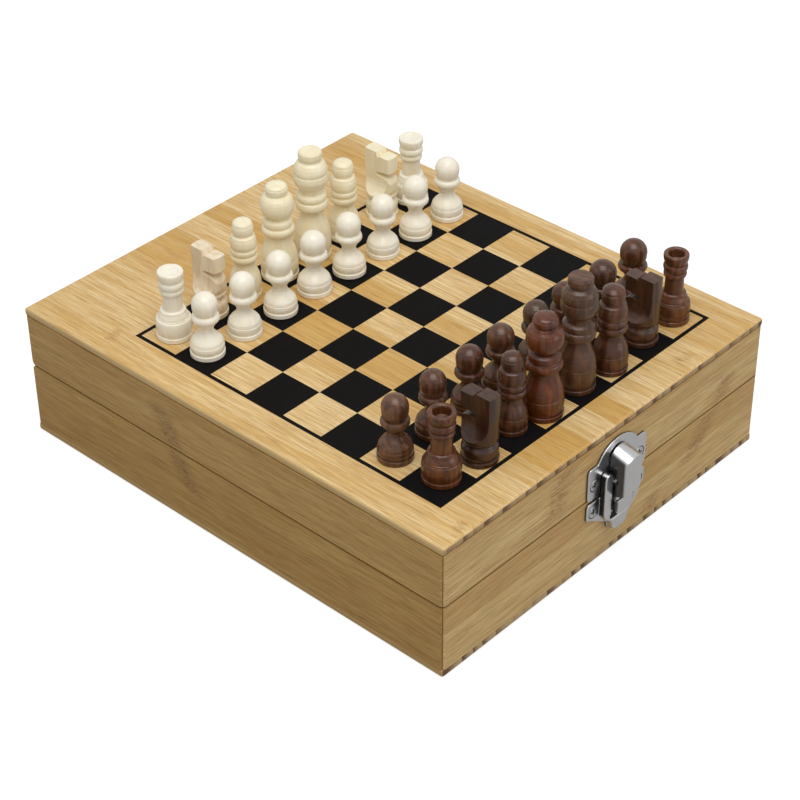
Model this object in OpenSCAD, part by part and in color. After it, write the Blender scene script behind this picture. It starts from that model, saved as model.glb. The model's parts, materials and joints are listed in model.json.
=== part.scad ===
// Bamboo chess box with a hinged lid, a printed board on the lid, a pressed steel catch
// at the front and the thirty-two turned chessmen set up on the board.
// Origin: centre of the underside. +Y to the hinges, +X to the right of the catch, +Z up.

/* [Box] */
// Outside width, left to right
box_w = 140.4; // [110:0.2:200]
// Outside depth, catch face to hinge face
box_d = 164.6; // [150:0.2:240]
// Outside height of the closed box
box_h = 44.5; // [42:0.5:70]
// Thickness of the bottom panel and of the top panel
panel_t = 2.6; // [1.6:0.1:3]
// Thickness of the eight mitred walls
wall_t = 8; // [7:0.5:12]
// Height of the line where base and lid meet
parting_z = 24.5; // [24:0.5:26]
// Open line between the base walls and the lid walls
parting_gap = 0.4; // [0.3:0.1:0.8]
// Rounding of the four upright corners
corner_r = 1.5; // [0.6:0.1:3]
// Rounding of the panel edges
edge_r = 0.8; // [0.3:0.1:1.2]

/* [Playing board] */
// Side of one square
square = 14.4; // [12.6:0.1:14.6]
// Width of the line printed round the squares
border_line = 1.2; // [0.6:0.1:2]
// Thickness of the printed layer
print_t = 0.06; // [0.04:0.01:0.1]
// Centre of the squares, right of the middle of the lid
board_x = 0.8; // [-2:0.1:2]
// Centre of the squares, behind the middle of the lid
board_y = -11.8; // [-14:0.2:0]
// Bare line left between two printed squares that meet at a corner
print_line = 0.08; // [0.04:0.01:0.2]

/* [Hinges] */
// Length of each butt hinge
hinge_l = 22; // [18:1:40]
// Distance between the middles of the two hinges
hinge_spread = 84; // [60:1:88]
// Radius of the hinge barrel
barrel_r = 1.5; // [1.2:0.1:1.7]
// Radius of the hinge pin
pin_r = 0.6; // [0.4:0.05:0.7]
// Thickness of the hinge leaves
leaf_t = 0.9; // [0.6:0.1:1]
// Distance from the back face to the hinge pin
pin_inset = 1.8; // [1.8:0.1:2.4]
// Slope of the bevel that each back wall has, from level
bevel_angle = 50; // [46:1:60]
// Number of knuckles in each barrel
knuckles = 5; // [3:2:7]

/* [Catch] */
// Middle of the catch, right of the middle of the front
catch_x = 1.5; // [-5:0.1:5]
// Width over the ears of both plates
catch_w = 25.8; // [25:0.1:30]
// Thickness of the steel plates
plate_t = 0.8; // [0.6:0.05:0.9]
// Radius at the corners of the ears
ear_r = 1.5; // [0.8:0.1:2.2]
// Height of the upper plate's ears
strike_ear_h = 11.2; // [10.4:0.1:11.6]
// Radius of the arch above the upper plate's ears
arch_r = 10.3; // [9.6:0.1:10.8]
// Width of the flat of the arch above the lever's crown
rim_w = 1.9; // [1.2:0.1:2.6]
// Reach of the lug that the lever holds down, from the wood
lug_p = 2.8; // [2.4:0.1:3]
// Height of the lower plate's ears
base_ear_h = 6.1; // [5.4:0.1:7]
// Height of the tip of the lower plate's tongue above the table
tongue_z = 9; // [7:0.2:10]
// Width over the raised frame of the lower plate
frame_w = 15.4; // [14.8:0.1:15.6]
// Width of each side of that frame
frame_side = 3.1; // [2.6:0.1:3.2]
// How far the frame's outer sides are set back behind its front
frame_inset = 0.3; // [0.2:0.1:0.8]
// Height of that frame above the wood
frame_p = 3; // [2.8:0.1:3.4]
// Reach of the frame's two posts above the parting line
post_h = 7.2; // [5.4:0.1:7.8]
// Width of the lever
lever_w = 7.6; // [6.6:0.1:7.8]
// Metal thickness of the lever
lever_t = 0.7; // [0.5:0.05:0.8]
// Reach of the lever's cover from the wood
cover_p = 6.9; // [6.6:0.1:8]
// Length of the cover, lower lip to crown
cover_l = 15; // [14:0.1:15.2]
// How far the cover's lower lip stands back behind the fullest part of its front
lip_back = 0.5; // [0.2:0.1:0.8]
// Radius of the folds along the front of the cover
fold_r = 1.4; // [0.9:0.1:2]
// Reach of the lever's thumb end from the wood
thumb_p = 4.2; // [4:0.1:4.6]
// Length of the thumb end below the lever pin
thumb_l = 5.6; // [4.8:0.1:5.8]
// Rounding of the thumb end, seen from the front
thumb_round = 3; // [1.5:0.1:3.3]
// Radius of the lever pin
lever_pin_r = 0.5; // [0.4:0.05:0.6]
// Distance from the wood to the lever pin
lever_pin_p = 2.05; // [1.95:0.05:2.2]
// Wire thickness of the torsion spring
spring_wire = 0.4; // [0.3:0.05:0.45]
// Turns of the torsion spring
spring_turns = 4; // [2:1:6]

/* [Screws] */
// Radius of a catch screw's head
screw_head_r = 1.9; // [1.6:0.1:2.1]
// Radius of a catch screw's shank
screw_r = 0.9; // [0.7:0.05:1.1]
// Length of a catch screw
screw_l = 7; // [5:0.5:7.2]
// Distance from the middle of the catch to its screws
screw_x = 9.9; // [9.8:0.1:10.6]
// Radius of a hinge screw's head
hinge_head_r = 1.3; // [1:0.1:1.5]
// Radius of a hinge screw's shank
hinge_screw_r = 0.7; // [0.5:0.05:0.8]
// Length of a hinge screw
hinge_screw_l = 7; // [5:0.5:9]

/* [Chessmen] */
// Height of a pawn
pawn_h = 20; // [17:0.5:24]
// Foot radius of a pawn
pawn_r = 5.1; // [4.4:0.1:5.6]
// Height of a rook
rook_h = 22; // [19:0.5:26]
// Foot radius of a rook
rook_r = 5.3; // [4.6:0.1:5.8]
// Height of a knight
knight_h = 22.2; // [20:0.2:26]
// Foot radius of a knight
knight_r = 5.1; // [4.6:0.1:5.8]
// Thickness of a knight's head between its flat cheeks
knight_head_w = 4.5; // [3.6:0.1:5.4]
// Height of a bishop
bishop_h = 26.5; // [23:0.5:31]
// Foot radius of a bishop
bishop_r = 4.95; // [4.4:0.05:5.6]
// Height of a queen
queen_h = 32; // [28:0.5:38]
// Foot radius of a queen
queen_r = 5.6; // [5:0.1:6]
// Height of a king
king_h = 36; // [31:0.5:42]
// Foot radius of a king
king_r = 5.7; // [5:0.1:6]
// Air under a standing chessman's foot
foot_gap = 0.04; // [0.02:0.01:0.1]

/* [Clearances] */
// Air round a pin that turns in its bore
running_fit = 0.04; // [0.02:0.01:0.08]
// Air between pieces that are set side by side
seat_fit = 0.05; // [0.02:0.01:0.1]
// Air round pieces that pass each other
pass_gap = 0.2; // [0.15:0.05:0.3]

/* [Hidden] */
$fn = 48;
cut = 1;                                     // how far a cutter runs past a face

bamboo = "#dcb97a";
bamboo_side = "#b08f5c";
ink = "#1c1b1a";
steel = "#b9bcc0";
maple = "#efe3c6";
rosewood = "#6b4030";

base_top = parting_z - parting_gap / 2;      // top edge of the base walls
lid_low = parting_z + parting_gap / 2;       // lower edge of the lid walls
front_y = -box_d / 2;
back_y = box_d / 2;
axis_y = back_y - pin_inset;                 // hinge pin, at the height of the parting line
leaf_gap = barrel_r + pass_gap;              // from the pin to where a leaf's plate begins
leaf_w = wall_t - pin_inset - leaf_gap - 0.8;
knuckle_l = hinge_l / knuckles;
hinge_screw_y = axis_y - leaf_gap - leaf_w / 2;
hinge_screw_x = hinge_l / 2 - 5;

strike_z = lid_low - 0.35;                   // lower edge of the upper plate
arch_z = strike_z + strike_ear_h - 5.4;        // centre of the arch
base_plate_z = base_top - 0.85;              // top edge of the lower plate
lever_pin_z = base_plate_z - 2;
strike_screw_z = strike_z + strike_ear_h / 2 - 0.7;
base_screw_z = base_plate_z - base_ear_h / 2 - 0.55;
cover_low = base_top;                        // lower lip of the cover
cover_top = min(cover_low + cover_l,         // crown of the cover, close to the wood,
    arch_z + arch_r - rim_w);                // below the edge of the arch
cover_slope = 15;                            // fall of the crown away from the wood
crown_r = 7.5;                               // curve of the crown across the lever
nose_r = 1.8;                                // rounding from the crown to the front
lever_back = plate_t + pass_gap + 0.1;       // back edges of the lever's cheeks
thumb_z = lever_pin_z - thumb_l;
heel_r = lever_pin_p - plate_t - pass_gap;   // cheek behind the lever pin
lug_z = strike_z + 3.75;                     // underside of the lug
lug_t = 0.8;
tongue_r = 3.4;                              // rounding of the lower plate's tongue

board_corner = [board_x - 4 * square, board_y - 4 * square];

foot_h = 1.5;                                // plain disc under every chessman
foot_round = 0.25;

// ---------------------------------------------------------------- outlines

function arc(c, r, from, to, n = 6) =
    [for (i = [0:n]) c + r * [cos(from + (to - from) * i / n), sin(from + (to - from) * i / n)]];

module rounded_square(w, d, r) {
    square([w - 2 * r, d], center = true);
    square([w, d - 2 * r], center = true);
    for (x = [-1, 1], y = [-1, 1])
        translate([x * (w / 2 - r), y * (d / 2 - r)]) circle(r);
}

// ---------------------------------------------------------------- box

// A panel with rounded edges all round its outer face, lying from z = 0 to z = panel_t
module panel() {
    hull() for (x = [-1, 1], y = [-1, 1]) {
        translate([x * (box_w / 2 - corner_r), y * (box_d / 2 - corner_r), 0]) {
            cylinder(r = corner_r, h = panel_t - edge_r, $fn = 32);
            translate([0, 0, panel_t - edge_r]) cylinder(r = corner_r - edge_r * 0.3,
                h = edge_r * 0.7, $fn = 32);
            cylinder(r = max(corner_r - edge_r, 0.2), h = panel_t, $fn = 32);
        }
    }
}

// One mitred wall's outline: side 0 front, 1 right, 2 back, 3 left
module wall_outline(side) {
    w = box_w / 2;
    d = box_d / 2;
    corners = [[-w, -d], [w, -d], [w, d], [-w, d]];
    inner = [[-w + wall_t, -d + wall_t], [w - wall_t, -d + wall_t],
        [w - wall_t, d - wall_t], [-w + wall_t, d - wall_t]];
    next = (side + 1) % 4;
    intersection() {
        polygon([corners[side], corners[next], inner[next], inner[side]]);
        rounded_square(box_w, box_d, corner_r);
    }
}

module base_wall(side) {
    translate([0, 0, panel_t])
        linear_extrude(base_top - panel_t) wall_outline(side);
}

module lid_wall(side) {
    translate([0, 0, lid_low])
        linear_extrude(box_h - panel_t - lid_low) wall_outline(side);
}

module base_bottom_panel() {
    color(bamboo_side) translate([0, 0, panel_t]) mirror([0, 0, 1]) panel();
}

module lid_top_panel() {
    color(bamboo) translate([0, 0, box_h - panel_t]) panel();
}

module base_front_wall() {
    color(bamboo_side) difference() {
        base_wall(0);
        catch_pilots(base_screw_z);
    }
}

module lid_front_wall() {
    color(bamboo_side) difference() {
        lid_wall(0);
        catch_pilots(strike_screw_z);
    }
}

// Both back walls are bevelled along the parting line, which lets the lid stand open
// until the two bevels meet, and are cut out for the leaves and barrels.
module base_back_wall() {
    color(bamboo_side) difference() {
        base_wall(2);
        bevel_cut();
        hinge_cuts(-1);
    }
}

module lid_back_wall() {
    color(bamboo_side) difference() {
        lid_wall(2);
        bevel_cut();
        hinge_cuts(1);
    }
}

// The side walls share that bevel, because their back ends reach past the hinge pins
module base_side_wall(side) {
    color(bamboo_side) difference() {
        base_wall(side);
        bevel_cut();
    }
}

module lid_side_wall(side) {
    color(bamboo_side) difference() {
        lid_wall(side);
        bevel_cut();
    }
}

module base_left_wall() { base_side_wall(3); }
module base_right_wall() { base_side_wall(1); }
module lid_left_wall() { lid_side_wall(3); }
module lid_right_wall() { lid_side_wall(1); }

module bevel_cut() {
    reach = pin_inset + cut;
    rise = reach * tan(bevel_angle);
    translate([0, axis_y, parting_z]) rotate([90, 0, 90])
        linear_extrude(box_w + 2 * cut, center = true)
            polygon([[0, 0], [reach, -rise], [reach, rise]]);
}

// ---------------------------------------------------------------- board

// The black squares and the line round them, printed on the lid. The outer squares run
// into the line.
module board_print() {
    side = 8 * square;
    outer = side + 2 * border_line;
    color(ink) translate([board_x, board_y, box_h]) {
        linear_extrude(print_t) difference() {
            square(outer, center = true);
            square(side - print_line, center = true);
        }
        for (i = [0:7], j = [0:7]) if ((i + j) % 2 == 0)
            translate([(i - 3.5) * square, (j - 3.5) * square, print_t / 2])
                cube([square - print_line, square - print_line, print_t], center = true);
    }
}

// ---------------------------------------------------------------- hinges

module at_hinges() {
    for (x = [-1, 1]) translate([x * hinge_spread / 2, 0, 0]) children();
}

module along_x(l, r) {
    rotate([0, 90, 0]) cylinder(r = r, h = l, center = true);
}

// Recesses in a back wall: side = -1 in the base, 1 in the lid
module hinge_cuts(side) {
    l = hinge_l + 2 * seat_fit;
    face = parting_z + side * parting_gap / 2;
    w = leaf_gap + leaf_w + seat_fit;
    t = leaf_t + seat_fit;
    at_hinges() {
        translate([0, axis_y - w / 2, face + side * (t - cut) / 2])
            cube([l, w, t + cut], center = true);
        translate([0, axis_y, parting_z]) along_x(l, leaf_gap);
        for (x = [-1, 1])
            translate([x * hinge_screw_x, hinge_screw_y, face])
                mirror([0, 0, side < 0 ? 0 : 1])
                    translate([0, 0, -hinge_screw_l - 0.3])
                        cylinder(r = hinge_screw_r + seat_fit, h = hinge_screw_l + cut);
    }
}

// Both leaves of one kind. The base leaf holds the odd knuckles, the lid leaf the even ones.
module leaves(side) {
    first = side < 0 ? 0 : 1;
    face = parting_z + side * parting_gap / 2;
    at_hinges() difference() {
        union() {
            translate([0, axis_y - leaf_gap - leaf_w / 2, face + side * leaf_t / 2])
                cube([hinge_l, leaf_w, leaf_t], center = true);
            for (k = [first:2:knuckles - 1]) {
                l = knuckle_l - pass_gap;
                translate([(k + 0.5) * knuckle_l - hinge_l / 2, axis_y, 0]) {
                    translate([0, 0, parting_z]) along_x(l, barrel_r);
                    translate([0, -leaf_gap / 2 - 0.1, face + side * leaf_t / 2])
                        cube([l, leaf_gap + 0.2, leaf_t], center = true);
                }
            }
        }
        translate([0, axis_y, parting_z]) along_x(hinge_l + cut, pin_r + running_fit);
        for (x = [-1, 1])
            translate([x * hinge_screw_x, hinge_screw_y, face])
                mirror([0, 0, side < 0 ? 0 : 1])
                    screw_hole(hinge_head_r, hinge_screw_r, leaf_t);
    }
}

module hinge_base_leaves() { color(steel) leaves(-1); }
module hinge_lid_leaves() { color(steel) leaves(1); }

module hinge_pins() {
    color(steel) at_hinges() translate([0, axis_y, parting_z]) along_x(hinge_l, pin_r);
}

module hinge_screws(side) {
    at_hinges() for (x = [-1, 1])
        translate([x * hinge_screw_x, hinge_screw_y, parting_z + side * parting_gap / 2])
            mirror([0, 0, side < 0 ? 0 : 1])
                wood_screw(hinge_head_r, hinge_screw_r, hinge_screw_l, leaf_t);
}

module hinge_base_screws() { color(steel) hinge_screws(-1); }
module hinge_lid_screws() { color(steel) hinge_screws(1); }

// ---------------------------------------------------------------- screws

// A countersunk screw pointing down, its head's face at z = 0 and the seat t below it
module wood_screw(head_r, shank_r, l, t) {
    slot_w = head_r * 0.26;
    slot_l = head_r * 1.25;
    difference() {
        rotate_extrude() polygon([[0, 0], [head_r - 0.1, 0], [head_r, -0.1],
            [shank_r, -0.1 - (head_r - shank_r) * 0.8], [shank_r, 1.6 - l], [0.15, -l], [0, -l]]);
        for (a = [0, 90]) rotate([0, 0, a])
            cube([slot_l, slot_w, head_r * 0.5], center = true);
    }
}

// The countersunk hole that the screw above sits in, through a plate t thick
module screw_hole(head_r, shank_r, t) {
    depth = 0.1 + (head_r - shank_r) * 0.8;
    rotate_extrude() polygon([[0, cut], [head_r + seat_fit, cut], [head_r + seat_fit, -0.1],
        [shank_r + seat_fit, -depth], [shank_r + seat_fit, -t - cut], [0, -t - cut]]);
}

// ---------------------------------------------------------------- catch

// An outline of the front view, made a plate from p0 to p1 in front of the wood
module front_plate(p0, p1) {
    translate([catch_x, front_y - p0, 0]) rotate([90, 0, 0]) linear_extrude(p1 - p0) children();
}

// An outline of the side view, reach from the wood by height, made w wide
module side_plate(w) {
    translate([catch_x, front_y, 0]) rotate([90, 0, -90]) linear_extrude(w, center = true)
        children();
}

// What is drawn pointing down at the origin is turned to point into the wood
module at_catch_screws(z) {
    for (x = [-1, 1]) translate([catch_x + x * screw_x, front_y - plate_t, z])
        rotate([90, 0, 0]) children();
}

module catch_pilots(z) {
    at_catch_screws(z) translate([0, 0, -screw_l - 0.3])
        cylinder(r = screw_r + seat_fit, h = screw_l + cut);
}

module catch_pin_line(l, r) {
    translate([catch_x, front_y - lever_pin_p, lever_pin_z]) along_x(l, r);
}

module strike_outline() {
    translate([0, strike_z + strike_ear_h / 2]) rounded_square(catch_w, strike_ear_h, ear_r);
    intersection() {
        translate([0, arch_z]) circle(arch_r);
        translate([-arch_r, strike_z]) square([2 * arch_r, 2 * arch_r]);
    }
}

// Upper plate: ears, an arch behind the lever, and the lug that the lever hooks over
module catch_strike_plate() {
    color(steel) {
        difference() {
            front_plate(0, plate_t) strike_outline();
            at_catch_screws(strike_screw_z) screw_hole(screw_head_r, screw_r, plate_t);
        }
        side_plate(frame_w - 2 * frame_side - 2 * pass_gap) polygon([[plate_t - 0.1, lug_z],
            [lug_p - 0.25, lug_z], [lug_p, lug_z + 0.25], [lug_p, lug_z + lug_t - 0.15],
            [lug_p - 0.15, lug_z + lug_t], [plate_t - 0.1, lug_z + lug_t]]);
    }
}

module base_plate_outline() {
    low = base_plate_z - base_ear_h;
    translate([0, base_plate_z - base_ear_h / 2]) rounded_square(catch_w, base_ear_h, ear_r);
    polygon(concat([[catch_w / 2 - ear_r, low + 0.01], [-catch_w / 2 + ear_r, low + 0.01]],
        arc([0, tongue_z + tongue_r], tongue_r + 0.2, 178, 362, 14)));
}

// The frame's front view: two posts joined by a tongue under the lever's thumb end
module frame_outline() {
    half = frame_w / 2;
    slot = half - frame_side;
    slot_low = thumb_z - 0.9;
    top = parting_z + post_h;
    post_r = frame_side / 2;
    difference() {
        polygon(concat([[half - 1.1, slot_low + 0.8], [half, slot_low + 3.2]],
            arc([half - post_r, top - post_r], post_r, 0, 180, 12),
            [[half - 2 * post_r, slot_low], [-half + 2 * post_r, slot_low]],
            arc([-half + post_r, top - post_r], post_r, 0, 180, 12),
            [[-half, slot_low + 3.2], [-half + 1.1, slot_low + 0.8], [-tongue_r - 0.7, slot_low - 1.1]],
            arc([0, tongue_z + tongue_r], tongue_r, 180, 360, 14),
            [[tongue_r + 0.7, slot_low - 1.1]]));
        translate([0, slot_low + 25]) rounded_square(2 * slot, 50, 4.2);
    }
}

// Lower plate: ears, and a raised frame that carries the lever's pin. The frame's front
// stands out over its sides.
module catch_base_plate() {
    float_p = plate_t + pass_gap;
    band = 0.8;                              // thickness of the frame's front
    side_z = base_plate_z - base_ear_h - 0.4;
    color(steel) difference() {
        union() {
            front_plate(0, plate_t) base_plate_outline();
            intersection() {
                front_plate(plate_t - 0.1, frame_p) frame_outline();
                side_plate(frame_w + cut) polygon([[0, tongue_z - cut],
                    [frame_p - 1.2, tongue_z - cut], [frame_p - 0.9, tongue_z + 0.2],
                    [frame_p - 0.3, tongue_z + 0.9], [frame_p, tongue_z + 2.2],
                    [frame_p, parting_z + post_h + cut],
                    [float_p, parting_z + post_h + cut], [float_p, base_plate_z], [0, base_plate_z]]);
            }
        }
        at_catch_screws(base_screw_z) screw_hole(screw_head_r, screw_r, plate_t);
        catch_pin_line(frame_w - 2 * frame_inset, lever_pin_r + running_fit / 2);
        for (s = [0, 1]) translate([catch_x, 0, 0]) mirror([s, 0, 0])
            translate([frame_w / 2 - frame_inset, front_y - frame_p + band, side_z])
                cube([frame_inset + cut, frame_p - band - plate_t, box_h]);
    }
}

// The lever's side view: a cover above the pin, a thumb end below it
module lever_side() {
    polygon(concat(
        [[lever_back, cover_top + cut], [lever_back, lever_pin_z + 1.3]],
        arc([lever_pin_p, lever_pin_z], heel_r, 165, 215, 4),
        [[2.8, thumb_z + 0.3]],
        arc([thumb_p - 0.9, thumb_z + 0.9], 0.9, 250, 360, 6),
        [[thumb_p, base_plate_z - 1.4], [thumb_p + 0.8, base_plate_z - 0.7],
         [cover_p - lip_back, cover_low - 0.1], [cover_p - lip_back / 3, cover_low + 3.2],
         [cover_p, cover_low + 6.6]],
        arc([cover_p - nose_r, nose_z()], nose_r, 0, 60, 5),
        [[cover_p - nose_r, cover_top + cut]]));
}

module lever_hollow() {
    t = lever_t;
    polygon(concat(
        [[-cut, cover_top + cut], [-cut, thumb_z + t], [3, thumb_z + t]],
        arc([thumb_p - 0.9, thumb_z + 0.9], 0.9 - t, 280, 360, 3),
        [[thumb_p - t, base_plate_z - 1.2], [thumb_p + 0.8 - t, base_plate_z - 0.4],
         [cover_p - lip_back - t, cover_low + 0.2], [cover_p - lip_back / 3 - t, cover_low + 3.2],
         [cover_p - t, cover_low + 6.6]],
        arc([cover_p - nose_r, nose_z()], nose_r - t, 0, 60, 5),
        [[cover_p - nose_r, cover_top + cut]]));
}

function nose_z() = cover_top - (cover_p - lever_back) * tan(cover_slope) - 0.9;

// The mouth in each cheek that the lug lies in, open towards the wood
module lug_mouth() {
    top = lug_z + lug_t + pass_gap;
    polygon([[-cut, lug_z - 0.5], [lug_p + 0.5, lug_z - 0.8], [lug_p + 1, lug_z - 0.4],
        [lug_p + 1, lug_z + 0.4], [lug_p + 0.4, top], [-cut, top]]);
}

// The opening between the cover's lower lip and the thumb end
module lip_gap() {
    p = lever_pin_p + 1.25;
    polygon([[p, lever_pin_z + 0.15], [cover_p + cut, lever_pin_z - 0.55],
        [cover_p + cut, cover_low], [cover_p - 1.5, cover_low - 0.7], [p, cover_low - 1.4]]);
}

// The lever's front view, round at the thumb end
module thumb_outline(inset) {
    translate([0, thumb_z + inset + 25])
        rounded_square(lever_w - 2 * inset, 50, thumb_round - inset);
}

// The lever's plan, with its folds rounded
module lever_plan(inset) {
    w = lever_w / 2 - inset;
    front = -cover_p + inset;
    r = fold_r - inset;
    translate([catch_x, front_y, 0]) linear_extrude(box_h)
        polygon(concat([[w, cut], [-w, cut]],
            arc([-w + r, front + r], r, 180, 270, 5), arc([w - r, front + r], r, 270, 360, 5)));
}

// The crown: a shallow barrel vault that falls away from the wood
module crown(r) {
    translate([catch_x, front_y - lever_back, cover_top - crown_r / cos(cover_slope)])
        rotate([90 - cover_slope, 0, 0]) translate([0, 0, -10]) cylinder(r = r, h = 30, $fn = 96);
}

module under_crown(r) {
    crown(r);
    translate([catch_x, front_y - cover_p / 2, 0])
        linear_extrude(cover_top - crown_r) square([4 * lever_w, 4 * cover_p], center = true);
}

// One folded strip: cheeks, a cover with a crowned top, and a rounded thumb end
module catch_lever() {
    inner_w = lever_w - 2 * lever_t;
    color(steel) difference() {
        intersection() {
            side_plate(lever_w) lever_side();
            under_crown(crown_r);
            lever_plan(0);
            front_plate(-cut, cover_p + cut) thumb_outline(0);
        }
        intersection() {
            side_plate(inner_w) lever_hollow();
            under_crown(crown_r - lever_t);
            lever_plan(lever_t);
            front_plate(-2 * cut, cover_p + 2 * cut) thumb_outline(lever_t);
        }
        side_plate(lever_w + cut) {
            lug_mouth();
            lip_gap();
        }
        catch_pin_line(lever_w + cut, lever_pin_r + running_fit);
    }
}

module catch_lever_pin() {
    color(steel) catch_pin_line(frame_w - 2 * frame_inset - 0.1, lever_pin_r);
}

module catch_base_screws() {
    color(steel) at_catch_screws(base_screw_z) wood_screw(screw_head_r, screw_r, screw_l, plate_t);
}

module catch_strike_screws() {
    color(steel) at_catch_screws(strike_screw_z)
        wood_screw(screw_head_r, screw_r, screw_l, plate_t);
}

// A round rod from a to b
module rod(a, b, r) {
    v = b - a;
    l = norm(v);
    translate(a) rotate([0, acos(v[2] / l), atan2(v[1], v[0])]) cylinder(r = r, h = l, $fn = 16);
}

// The torsion spring: a coil round the lever pin, one leg up against the lower plate, one
// leg down inside the thumb end
module catch_spring() {
    wire = spring_wire / 2;
    coil_r = lever_pin_r + 0.15 + wire;
    pitch = spring_wire * 1.15;
    n = 16;
    sides = 8;
    rings = spring_turns * n;
    half = pitch * spring_turns / 2;
    points = [for (i = [0:rings], k = [0:sides - 1])
        let (a = 360 * i / n, q = 360 * k / sides, r = coil_r + wire * cos(q))
        [-half + pitch * i / n + wire * sin(q), r * sin(a), r * cos(a)]];
    faces = concat(
        [[for (k = [0:sides - 1]) k]],
        [for (i = [0:rings - 1], k = [0:sides - 1])
            [i * sides + k, (i + 1) * sides + k,
             (i + 1) * sides + (k + 1) % sides, i * sides + (k + 1) % sides]],
        [[for (k = [sides - 1:-1:0]) rings * sides + k]]);
    color(steel) translate([catch_x, front_y - lever_pin_p, lever_pin_z]) {
        rotate([90, 0, 0]) polyhedron(points, faces);
        rod([-half, coil_r - 0.02, -0.1], [-half, lever_pin_p - plate_t - wire - seat_fit, 1.7], wire);
        rod([half, -coil_r + 0.02, 0.1], [half, -coil_r - 0.3, -3], wire);
    }
}

// ---------------------------------------------------------------- chessmen

// Stretches of a turned outline, as [radius, height] points
function bead(r0, r1, z0, z1, n = 6) =
    [for (i = [0:n]) [r0 + (r1 - r0) * sin(180 * i / n), z0 + (z1 - z0) * (1 - cos(180 * i / n)) / 2]];
function flare(r0, r1, z0, z1, n = 5) =
    [for (i = [0:n]) let (t = i / n) [r0 + (r1 - r0) * t * t * (3 - 2 * t), z0 + (z1 - z0) * t]];
function swell(r0, r1, z0, z1, n = 5) =
    [for (i = [0:n]) [r0 + (r1 - r0) * sin(90 * i / n), z0 + (z1 - z0) * (1 - cos(90 * i / n))]];
function dome(r, z0, z1, n = 6) =
    [for (i = [0:n]) [r * cos(90 * i / n), z0 + (z1 - z0) * sin(90 * i / n)]];

// The plain disc that every man stands on, and the groove above it
function foot(r) = [[0, 0], [r - foot_round, 0], [r, foot_round], [r, foot_h - 0.1],
    [r - 0.15, foot_h + 0.05], [r * 0.92, foot_h + 0.1], [r * 0.92, foot_h + 0.35]];

// The light pawns' heads are rounder than the dark ones, on a higher collar
function pawn_profile(r, h, round_head) = let (k = round_head ? 0.022 : 0) concat(foot(r),
    bead(r * 0.93, r * 0.98, foot_h + 0.4, h * 0.2, 4),
    flare(r * 0.93, r * 0.42, h * 0.21, h * 0.41, 6),
    flare(r * 0.41, r * 0.6, h * 0.43, h * (0.525 + k), 4),
    bead(r * 0.63, r * 0.8, h * (0.53 + k), h * (0.645 + k), 7),
    [[r * 0.57, h * (0.652 + k)], [r * 0.6, h * (0.66 + k)], [r * 0.67, h * (0.685 + k)],
     [r * 0.72, h * (0.73 + k)]],
    arc([0, h - r * 0.74], r * 0.74, -6, 90, 10));

// The dark rooks are bored on top, the light ones only dished
function rook_profile(r, h, dished) = let (f = dished ? 0.14 : 1) concat(foot(r),
    bead(r * 0.93, r, foot_h + 0.4, h * 0.295, 7),
    [[r * 0.87, h * 0.3], [r * 0.87, h * 0.315]],
    flare(r * 0.84, r * 0.7, h * 0.32, h * 0.415, 4),
    [[r * 0.62, h * 0.42]],
    flare(r * 0.55, r * 0.53, h * 0.43, h * 0.66, 3),
    bead(r * 0.57, r * 0.66, h * 0.67, h * 0.745, 5),
    [[r * 0.55, h * 0.752]],
    bead(r * 0.59, r * 0.7, h * 0.76, h * 0.86, 6),
    [[r * 0.59, h * 0.866], [r * 0.65, h * 0.88], [r * 0.705, h * 0.925], [r * 0.725, h * 0.97],
     [r * 0.71, h * 0.99], [r * 0.67, h], [r * 0.53, h], [r * 0.48, h * (1 - 0.008 * f)],
     [r * 0.45, h * (1 - 0.025 * f)], [r * 0.4, h * (1 - 0.12 * f)], [0, h * (1 - 0.155 * f)]]);

function bishop_profile(r, h) = concat(foot(r),
    bead(r * 0.94, r * 0.99, foot_h + 0.4, h * 0.22, 5),
    flare(r * 0.95, r * 0.62, h * 0.23, h * 0.44, 6),
    flare(r * 0.63, r * 0.7, h * 0.45, h * 0.475, 2),
    bead(r * 0.74, r * 0.86, h * 0.48, h * 0.556, 6),
    bead(r * 0.74, r * 0.83, h * 0.566, h * 0.634, 6),
    [[r * 0.72, h * 0.64], [r * 0.78, h * 0.65], [r * 0.82, h * 0.69], [r * 0.8, h * 0.74],
     [r * 0.72, h * 0.79], [r * 0.57, h * 0.806], [r * 0.55, h * 0.816]],
    bead(r * 0.58, r * 0.67, h * 0.825, h * 0.935, 5),
    dome(r * 0.62, h * 0.94, h, 5));

function queen_profile(r, h) = concat(foot(r),
    bead(r * 0.94, r, foot_h + 0.4, h * 0.2, 5),
    flare(r * 0.96, r * 0.66, h * 0.21, h * 0.45, 6),
    [[r * 0.7, h * 0.47]],
    bead(r * 0.75, r * 0.87, h * 0.478, h * 0.55, 6),
    bead(r * 0.72, r * 0.78, h * 0.56, h * 0.625, 5),
    [[r * 0.54, h * 0.65]],
    bead(r * 0.58, r * 0.89, h * 0.665, h * 0.88, 9),
    [[r * 0.51, h * 0.888], [r * 0.51, h * 0.9]],
    bead(r * 0.53, r * 0.6, h * 0.905, h * 0.965, 3),
    dome(r * 0.56, h * 0.966, h, 5));

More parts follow.
